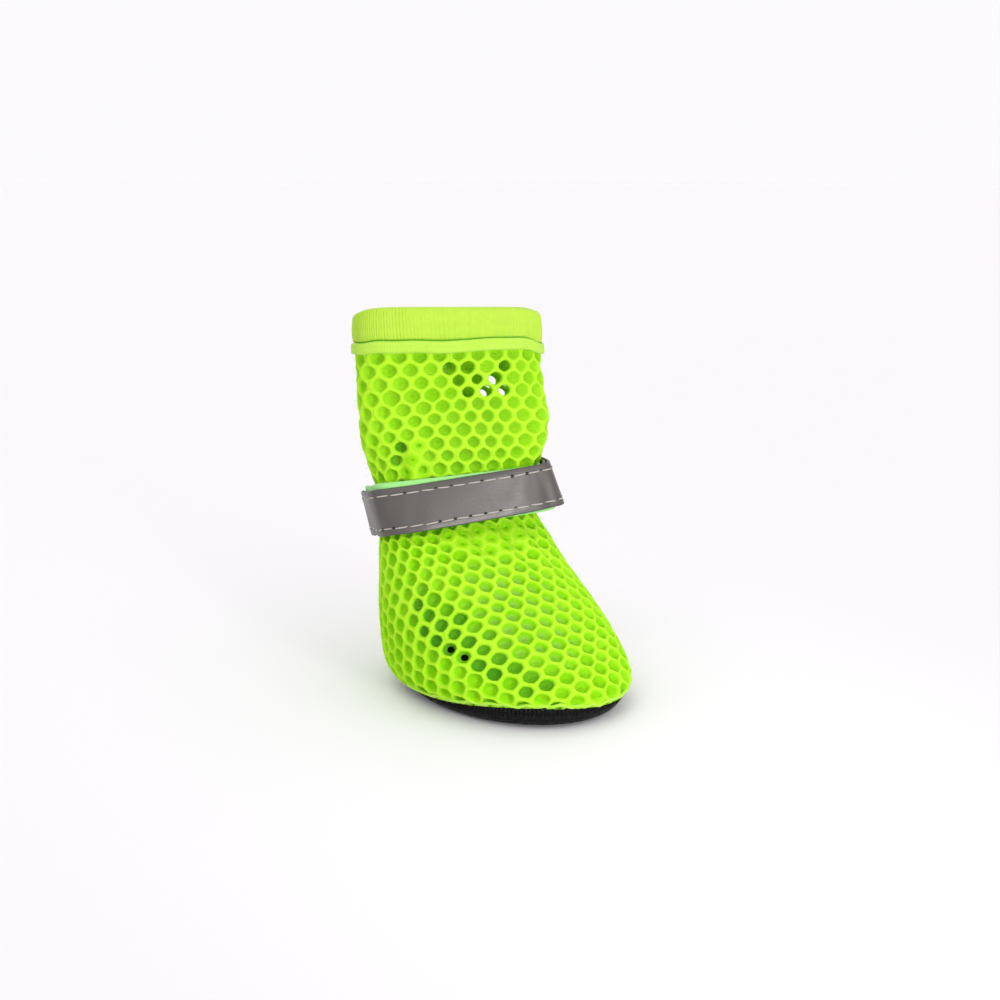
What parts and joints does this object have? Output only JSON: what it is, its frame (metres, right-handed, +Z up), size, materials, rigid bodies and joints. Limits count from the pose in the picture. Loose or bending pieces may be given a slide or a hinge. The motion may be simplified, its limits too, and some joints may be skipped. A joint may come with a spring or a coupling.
{
  "type": "dog boot",
  "caption": "Lime mesh dog boot with a dished black anti-slip sole, ribbed elastic collar and a grey reflective hook-and-loop ankle strap.",
  "frame": {"origin": "centre of the sole's flat underside", "axes": "+X towards the toe, +Y towards the boot's left side, +Z up through the collar"},
  "size_m": [0.0676, 0.0518, 0.0895],
  "materials": {
    "sole_fabric": "raised glossy dots on matt black fabric",
    "lining": "matt brushed",
    "mesh": "open honeycomb knit",
    "plain_fabric": "plain weave",
    "binding_edge": "smooth folded edge",
    "binding": "fine ribbed elastic",
    "hook_tape": "hook-and-loop tape",
    "reflective_tape": "satin reflective with two stitch rows"
  },
  "bodies": {
    "root": {"sole": "sole_fabric", "insole": "lining", "upper": "mesh", "heel_patch": "plain_fabric", "collar_lip": "binding_edge", "collar_band": "binding", "strap_backing": "hook_tape", "strap": "reflective_tape"}
  },
  "joints": []
}
